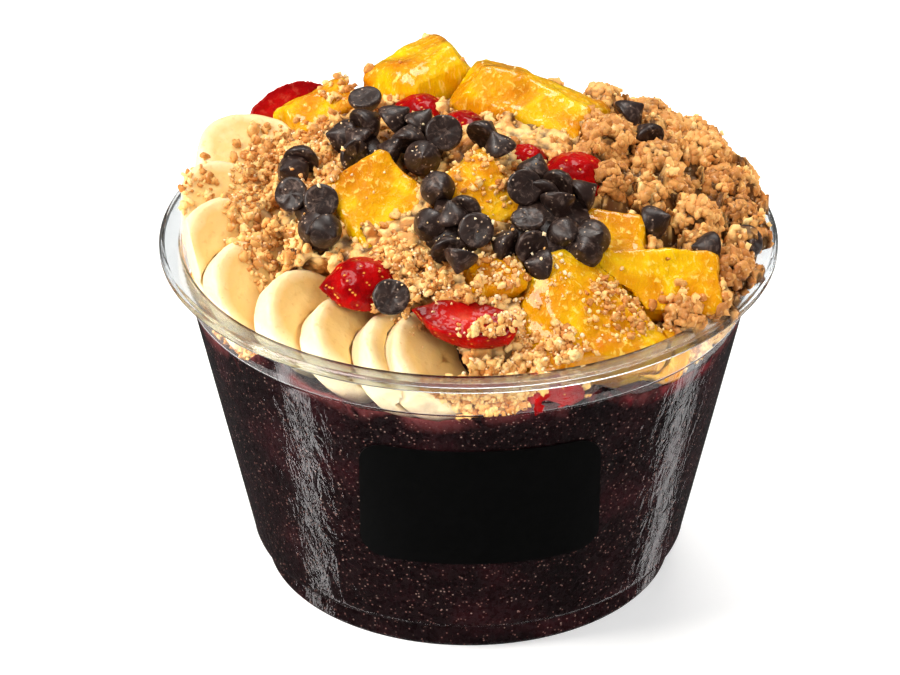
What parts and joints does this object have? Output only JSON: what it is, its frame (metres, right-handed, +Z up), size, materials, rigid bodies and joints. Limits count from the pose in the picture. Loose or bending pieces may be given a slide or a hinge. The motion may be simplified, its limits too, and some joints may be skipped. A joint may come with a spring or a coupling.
{
  "type": "acai bowl",
  "caption": "Clear round plastic tub of dark acai, heaped above its rim with granola, fanned banana slices, mango chunks, strawberry pieces and chocolate chips, with a bare black label.",
  "frame": {"origin": "centre of the foot ring, on the surface that the tub stands on", "axes": "+Z up along the tub's axis; -Y to the front, where the label is; +X to the right as the label is looked at"},
  "size_m": [0.15, 0.15, 0.1211],
  "materials": {
    "tub": "clear polished PET",
    "label": "black satin sticker",
    "mango": "wet fruit flesh",
    "strawberry": "wet berry skin and flesh",
    "banana": "moist soft flesh",
    "chocolate": "satin dark chocolate",
    "granola": "rough toasted oats",
    "acai": "thick frozen puree"
  },
  "bodies": {
    "root": {"tub": "tub", "label": "label", "mango_1": "mango", "mango_2": "mango", "mango_3": "mango", "mango_4": "mango", "mango_5": "mango", "mango_6": "mango", "mango_7": "mango", "mango_8": "mango", "mango_9": "mango", "mango_10": "mango", "strawberry_1": "strawberry", "strawberry_2": "strawberry", "strawberry_3": "strawberry", "strawberry_4": "strawberry", "strawberry_5": "strawberry", "strawberry_6": "strawberry", "strawberry_7": "strawberry", "strawberry_8": "strawberry", "banana_1": "banana", "banana_2": "banana", "banana_3": "banana", "banana_4": "banana", "banana_5": "banana", "banana_6": "banana", "banana_7": "banana", "banana_8": "banana", "chips_back_left": "chocolate", "chips_back": "chocolate", "chips_middle": "chocolate", "chips_right": "chocolate", "chips_left": "chocolate", "chip_1": "chocolate", "chip_2": "chocolate", "chip_3": "chocolate", "chip_4": "chocolate", "chip_5": "chocolate", "chip_6": "chocolate", "chip_7": "chocolate", "chip_8": "chocolate", "chip_9": "chocolate", "chip_10": "chocolate", "chip_11": "chocolate", "chip_12": "chocolate", "granola": "granola", "acai": "acai"}
  },
  "joints": []
}
